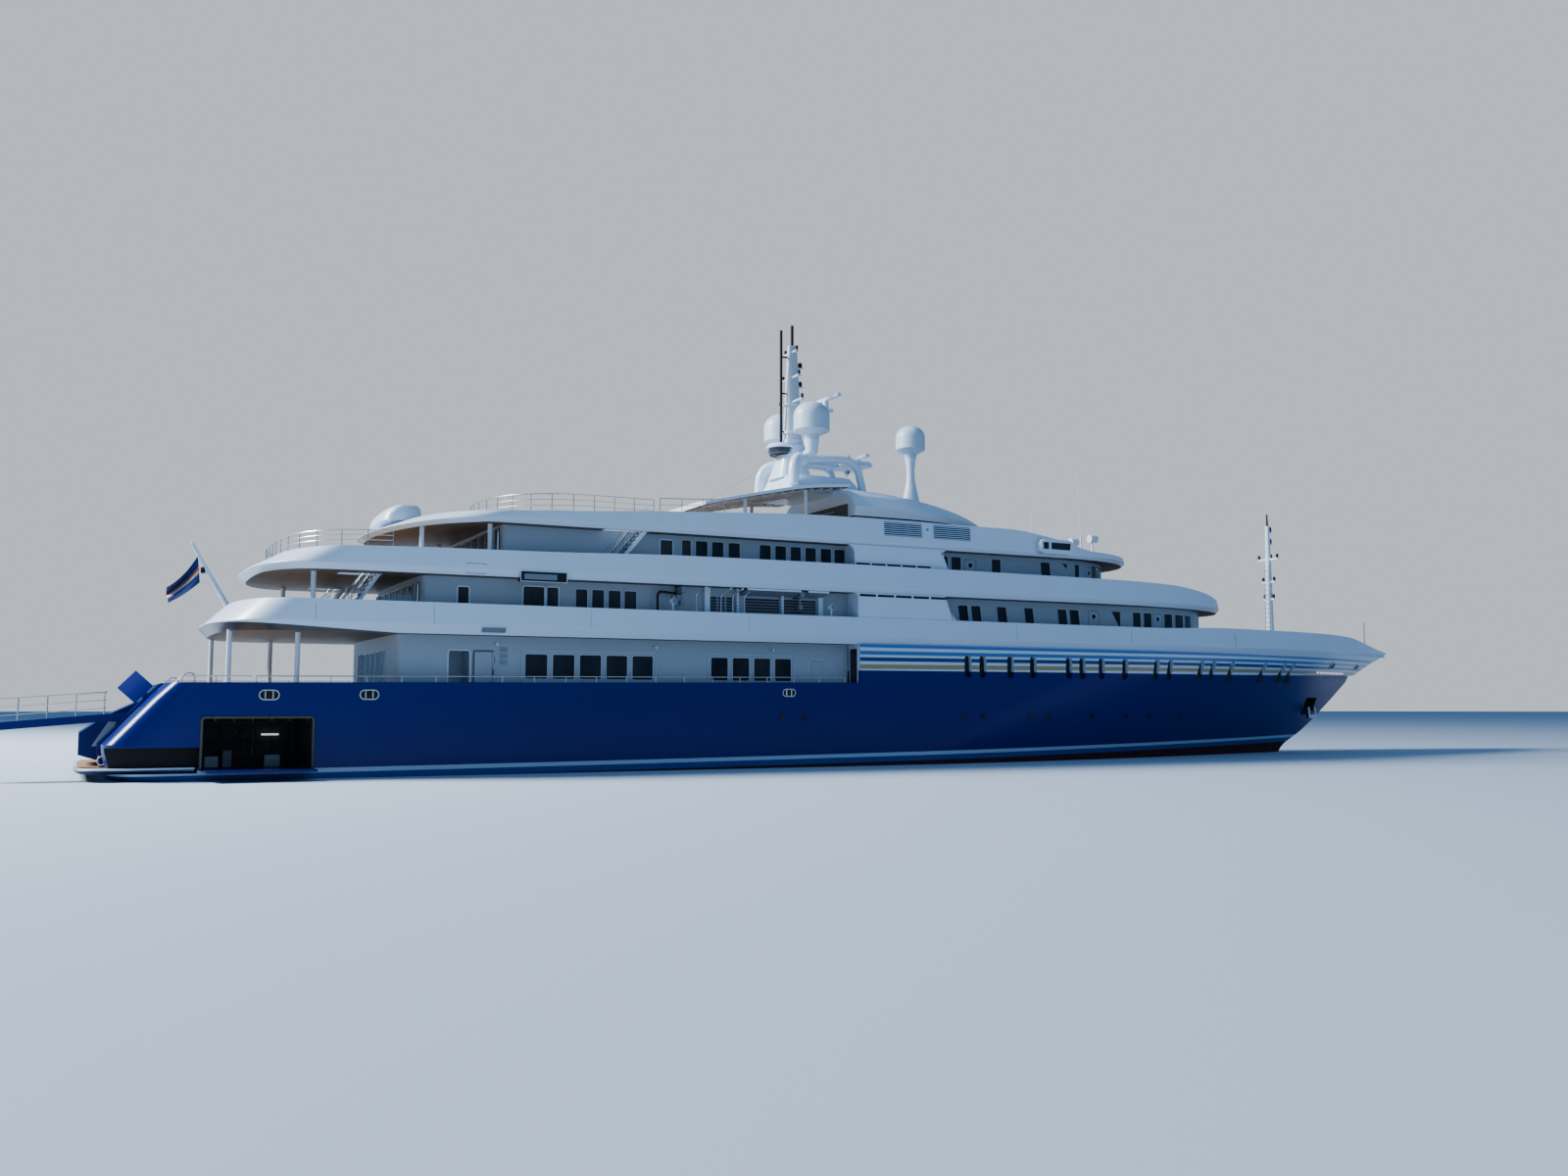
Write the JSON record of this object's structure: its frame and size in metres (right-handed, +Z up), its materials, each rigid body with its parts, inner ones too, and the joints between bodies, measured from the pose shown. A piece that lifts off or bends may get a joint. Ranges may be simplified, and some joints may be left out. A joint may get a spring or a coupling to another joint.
{
  "type": "scale model of a motor yacht",
  "caption": "1:10 model of a displacement motor yacht with blue hull, stacked deck bands, radar mast, stern passerelle and opening garage doors.",
  "frame": {"origin": "on the waterline amidships, on the centreline", "axes": "+X towards the bow, +Y to port, +Z up"},
  "size_m": [9.675, 1.677, 3.1111],
  "materials": {
    "hull_blue": "gloss",
    "striped_paint": "gloss",
    "white_paint": "gloss",
    "radome_white": "satin",
    "antifouling": "matt",
    "bronze": "polished",
    "stainless": "polished",
    "teak": "matt",
    "ensign_cloth": "woven"
  },
  "bodies": {
    "ship": {"hull": "hull_blue", "forward_topsides": "striped_paint", "swim_platform": "teak", "stern_stair_starboard": "teak", "stern_stair_port": "teak", "main_deck_house": "white_paint", "main_deck_rail_starboard": "stainless", "main_deck_rail_port": "stainless", "upper_deck": "white_paint", "upper_deck_house": "white_paint", "side_panel_upper_starboard": "white_paint", "side_panel_upper_port": "white_paint", "bridge_deck_stair_starboard": "white_paint", "bridge_deck_stair_port": "white_paint", "bridge_deck": "white_paint", "bridge_deck_rail": "stainless", "bridge_deck_house": "white_paint", "side_panel_bridge_starboard": "white_paint", "side_panel_bridge_port": "white_paint", "sun_deck_stair_starboard": "white_paint", "sun_deck_stair_port": "white_paint", "sun_deck": "white_paint", "sun_deck_rail": "stainless", "wing_station_starboard": "white_paint", "wing_station_port": "white_paint", "hardtop": "white_paint", "top_fairing": "white_paint", "radar_mast": "white_paint", "radome_starboard": "radome_white", "radome_port": "radome_white", "radome_forward": "radome_white", "radome_stalk": "white_paint", "foremast": "white_paint", "jackstaff": "stainless", "windlass": "stainless", "ensign_staff": "white_paint", "ensign": "ensign_cloth", "shaft_line_starboard": "stainless", "shaft_line_port": "stainless", "anchor_starboard": "stainless", "anchor_port": "stainless"},
    "main_door_starboard": {"main_deck_door_starboard": "white_paint"},
    "main_door_port": {"main_deck_door_port": "white_paint"},
    "garage_leaf_starboard": {"garage_door_starboard": "hull_blue"},
    "garage_leaf_port": {"garage_door_port": "hull_blue"},
    "stern_lid": {"stern_lid": "hull_blue"},
    "passerelle": {"passerelle": "hull_blue"},
    "propeller_starboard": {"propeller_starboard": "bronze"},
    "propeller_port": {"propeller_port": "bronze"},
    "rudder_starboard": {"rudder_starboard": "antifouling"},
    "rudder_port": {"rudder_port": "antifouling"},
    "fin_starboard": {"stabiliser_fin_starboard": "antifouling"},
    "fin_port": {"stabiliser_fin_port": "antifouling"},
    "scanner_upper": {"radar_scanner_upper": "white_paint"},
    "scanner_lower": {"radar_scanner_lower": "white_paint"},
    "davit_aft_starboard": {"tender_davit_aft_starboard": "stainless"},
    "davit_forward_starboard": {"tender_davit_forward_starboard": "stainless"},
    "davit_aft_port": {"tender_davit_aft_port": "stainless"},
    "davit_forward_port": {"tender_davit_forward_port": "stainless"}
  },
  "joints": [
    {"name": "main_door_starboard_hinge", "type": "hinge", "parent": "ship", "child": "main_door_starboard", "pos_m": [-2.775, -0.601, 0.5035], "axis": [0, 0, 1], "range_deg": [0, 95]},
    {"name": "main_door_port_hinge", "type": "hinge", "parent": "ship", "child": "main_door_port", "pos_m": [-2.775, 0.601, 0.5035], "axis": [0, 0, 1], "range_deg": [-95, 0]},
    {"name": "garage_starboard_hinge", "type": "hinge", "parent": "ship", "child": "garage_leaf_starboard", "pos_m": [-3.885, -0.719, 0.04], "axis": [1, 0, 0], "range_deg": [-90, 0]},
    {"name": "garage_port_hinge", "type": "hinge", "parent": "ship", "child": "garage_leaf_port", "pos_m": [-3.885, 0.719, 0.04], "axis": [1, 0, 0], "range_deg": [-90, 0]},
    {"name": "stern_lid_hinge", "type": "hinge", "parent": "ship", "child": "stern_lid", "pos_m": [-4.34477, -0.406, 0.38274], "axis": [-0.677, 0, -0.736], "range_deg": [0, 100]},
    {"name": "passerelle_tilt", "type": "hinge", "parent": "ship", "child": "passerelle", "pos_m": [-4.32, -0.34, 0.3], "axis": [0, 1, 0], "range_deg": [-6, 8]},
    {"name": "propeller_starboard_spin", "type": "hinge", "parent": "ship", "child": "propeller_starboard", "pos_m": [-3.6, -0.27, -0.28], "axis": [1, 0, 0], "continuous": true},
    {"name": "propeller_port_spin", "type": "hinge", "parent": "ship", "child": "propeller_port", "pos_m": [-3.6, 0.27, -0.28], "axis": [1, 0, 0], "continuous": true},
    {"name": "rudder_starboard_turn", "type": "hinge", "parent": "ship", "child": "rudder_starboard", "pos_m": [-3.9, -0.27, -0.25], "axis": [0, 0, 1], "range_deg": [-35, 35]},
    {"name": "rudder_port_turn", "type": "hinge", "parent": "ship", "child": "rudder_port", "pos_m": [-3.9, 0.27, -0.25], "axis": [0, 0, 1], "range_deg": [-35, 35]},
    {"name": "fin_starboard_turn", "type": "hinge", "parent": "ship", "child": "fin_starboard", "pos_m": [-0.2, -0.575, -0.31], "axis": [0, -0.8192, -0.5736], "range_deg": [-20, 20]},
    {"name": "fin_port_turn", "type": "hinge", "parent": "ship", "child": "fin_port", "pos_m": [-0.2, 0.575, -0.31], "axis": [0, 0.8192, -0.5736], "range_deg": [-20, 20]},
    {"name": "scanner_upper_spin", "type": "hinge", "parent": "ship", "child": "scanner_upper", "pos_m": [-0.52, 0, 2.23], "axis": [0, 0, 1], "continuous": true},
    {"name": "scanner_lower_spin", "type": "hinge", "parent": "ship", "child": "scanner_lower", "pos_m": [-0.29, 0, 1.875], "axis": [0, 0, 1], "continuous": true},
    {"name": "davit_aft_starboard_run", "type": "slide", "parent": "ship", "child": "davit_aft_starboard", "axis": [0, -1, 0], "range_m": [0, 0.24]},
    {"name": "davit_forward_starboard_run", "type": "slide", "parent": "ship", "child": "davit_forward_starboard", "axis": [0, -1, 0], "range_m": [0, 0.24]},
    {"name": "davit_aft_port_run", "type": "slide", "parent": "ship", "child": "davit_aft_port", "axis": [0, 1, 0], "range_m": [0, 0.24]},
    {"name": "davit_forward_port_run", "type": "slide", "parent": "ship", "child": "davit_forward_port", "axis": [0, 1, 0], "range_m": [0, 0.24]}
  ]
}
